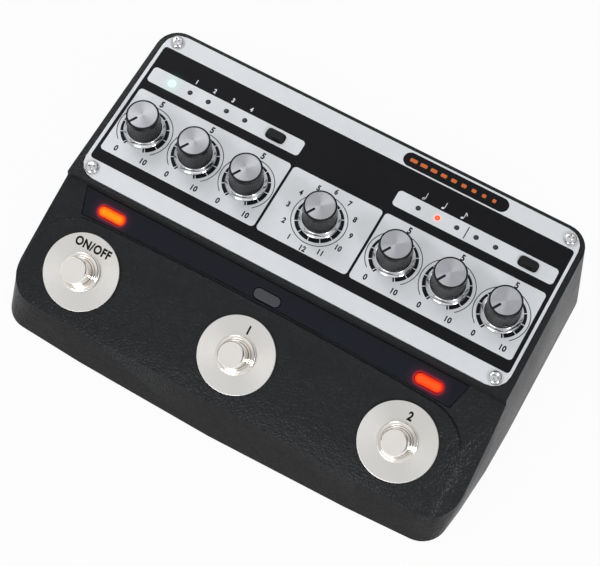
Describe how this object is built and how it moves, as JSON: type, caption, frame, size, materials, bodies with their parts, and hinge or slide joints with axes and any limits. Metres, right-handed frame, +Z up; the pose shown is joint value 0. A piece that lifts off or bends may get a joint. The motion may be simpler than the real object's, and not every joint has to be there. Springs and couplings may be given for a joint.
{
  "type": "analog delay machine",
  "caption": "Floor delay unit with a tilted dial panel, a sloping footswitch deck with a light strip, and a rear wall of jacks.",
  "frame": {"origin": "on the ground under the middle of the outline", "axes": "+X the player's right, +Y the jack side, +Z up"},
  "size_m": [0.192, 0.1324, 0.0518],
  "materials": {
    "black_crinkle": "black crinkle powder coat",
    "face_silver": "satin silver print with black fields",
    "chrome_screws": "polished cross-slotted screws",
    "smoked_acrylic": "smoked, polished",
    "window_amber": "lit amber window",
    "window_dark": "unlit grey window",
    "window_red": "lit red window",
    "button_black": "moulded black",
    "knob_black": "fluted black",
    "cap_silver": "spun silver",
    "shaft_steel": "turned",
    "selector_body": "moulded grey",
    "board_green": "lacquered board",
    "jack_black": "moulded black",
    "nickel": "nickel plate",
    "washer_steel": "turned face",
    "base_steel": "black satin paint",
    "base_screw_zinc": "zinc plate",
    "foot_rubber": "matte"
  },
  "bodies": {
    "chassis": {"housing": "black_crinkle", "faceplate": "face_silver", "panel_screw_left_front": "chrome_screws", "panel_screw_left_rear": "chrome_screws", "panel_screw_right_front": "chrome_screws", "panel_screw_right_rear": "chrome_screws", "light_strip": "smoked_acrylic", "light_window_left": "window_amber", "light_window_centre": "window_dark", "light_window_right": "window_red", "selector_switch": "selector_body", "main_board": "board_green", "switch_board": "board_green", "jack_board": "jack_black", "jack_nut_1": "nickel", "jack_nut_2": "nickel", "jack_nut_3": "nickel", "jack_nut_4": "nickel", "jack_nut_5": "nickel", "footswitch_washer_left": "washer_steel", "footswitch_washer_centre": "washer_steel", "footswitch_washer_right": "washer_steel", "footswitch_nut_left": "nickel", "footswitch_nut_centre": "nickel", "footswitch_nut_right": "nickel", "base_plate": "base_steel", "base_screw_left_front": "base_screw_zinc", "base_screw_left_rear": "base_screw_zinc", "base_screw_right_front": "base_screw_zinc", "base_screw_right_rear": "base_screw_zinc", "foot_left_front": "foot_rubber", "foot_left_rear": "foot_rubber", "foot_right_front": "foot_rubber", "foot_right_rear": "foot_rubber"},
    "dial_rate": {"knob_rate": "knob_black", "knob_cap_rate": "cap_silver", "knob_shaft_rate": "shaft_steel"},
    "dial_depth": {"knob_depth": "knob_black", "knob_cap_depth": "cap_silver", "knob_shaft_depth": "shaft_steel"},
    "dial_variation": {"knob_variation": "knob_black", "knob_cap_variation": "cap_silver", "knob_shaft_variation": "shaft_steel"},
    "dial_mode": {"knob_mode": "knob_black", "knob_cap_mode": "cap_silver", "knob_shaft_mode": "shaft_steel"},
    "dial_time": {"knob_time": "knob_black", "knob_cap_time": "cap_silver", "knob_shaft_time": "shaft_steel"},
    "dial_intensity": {"knob_intensity": "knob_black", "knob_cap_intensity": "cap_silver", "knob_shaft_intensity": "shaft_steel"},
    "dial_volume": {"knob_volume": "knob_black", "knob_cap_volume": "cap_silver", "knob_shaft_volume": "shaft_steel"},
    "pedal_left": {"footswitch_plunger_left": "nickel"},
    "pedal_centre": {"footswitch_plunger_centre": "nickel"},
    "pedal_right": {"footswitch_plunger_right": "nickel"},
    "push_memory": {"memory_button": "button_black"},
    "push_division": {"division_button": "button_black"}
  },
  "joints": [
    {"name": "rate_turn", "type": "hinge", "parent": "chassis", "child": "dial_rate", "pos_m": [-0.075, 0.01528, 0.03882], "axis": [0, -0.0471, 0.9989], "range_deg": [-300, 0]},
    {"name": "depth_turn", "type": "hinge", "parent": "chassis", "child": "dial_depth", "pos_m": [-0.053, 0.01528, 0.03882], "axis": [0, -0.0471, 0.9989], "range_deg": [-300, 0]},
    {"name": "variation_turn", "type": "hinge", "parent": "chassis", "child": "dial_variation", "pos_m": [-0.031, 0.01528, 0.03882], "axis": [0, -0.0471, 0.9989], "range_deg": [-300, 0]},
    {"name": "mode_turn", "type": "hinge", "parent": "chassis", "child": "dial_mode", "pos_m": [0, 0.01528, 0.03882], "axis": [0, -0.0471, 0.9989], "range_deg": [-330, 0]},
    {"name": "time_turn", "type": "hinge", "parent": "chassis", "child": "dial_time", "pos_m": [0.031, 0.01528, 0.03882], "axis": [0, -0.0471, 0.9989], "range_deg": [-300, 0]},
    {"name": "intensity_turn", "type": "hinge", "parent": "chassis", "child": "dial_intensity", "pos_m": [0.053, 0.01528, 0.03882], "axis": [0, -0.0471, 0.9989], "range_deg": [-300, 0]},
    {"name": "volume_turn", "type": "hinge", "parent": "chassis", "child": "dial_volume", "pos_m": [0.075, 0.01528, 0.03882], "axis": [0, -0.0471, 0.9989], "range_deg": [-300, 0]},
    {"name": "footswitch_left_press", "type": "slide", "parent": "chassis", "child": "pedal_left", "axis": [0, 0.4163, -0.9092], "range_m": [0, 0.0025], "stiffness_N_per_m": 4000, "springref_m": -0.001},
    {"name": "footswitch_centre_press", "type": "slide", "parent": "chassis", "child": "pedal_centre", "axis": [0, 0.4163, -0.9092], "range_m": [0, 0.0025], "stiffness_N_per_m": 4000, "springref_m": -0.001},
    {"name": "footswitch_right_press", "type": "slide", "parent": "chassis", "child": "pedal_right", "axis": [0, 0.4163, -0.9092], "range_m": [0, 0.0025], "stiffness_N_per_m": 4000, "springref_m": -0.001},
    {"name": "memory_button_press", "type": "slide", "parent": "chassis", "child": "push_memory", "axis": [0, 0.0471, -0.9989], "range_m": [0, 0.0005], "stiffness_N_per_m": 2500, "springref_m": -0.0003},
    {"name": "division_button_press", "type": "slide", "parent": "chassis", "child": "push_division", "axis": [0, 0.0471, -0.9989], "range_m": [0, 0.0005], "stiffness_N_per_m": 2500, "springref_m": -0.0003}
  ]
}
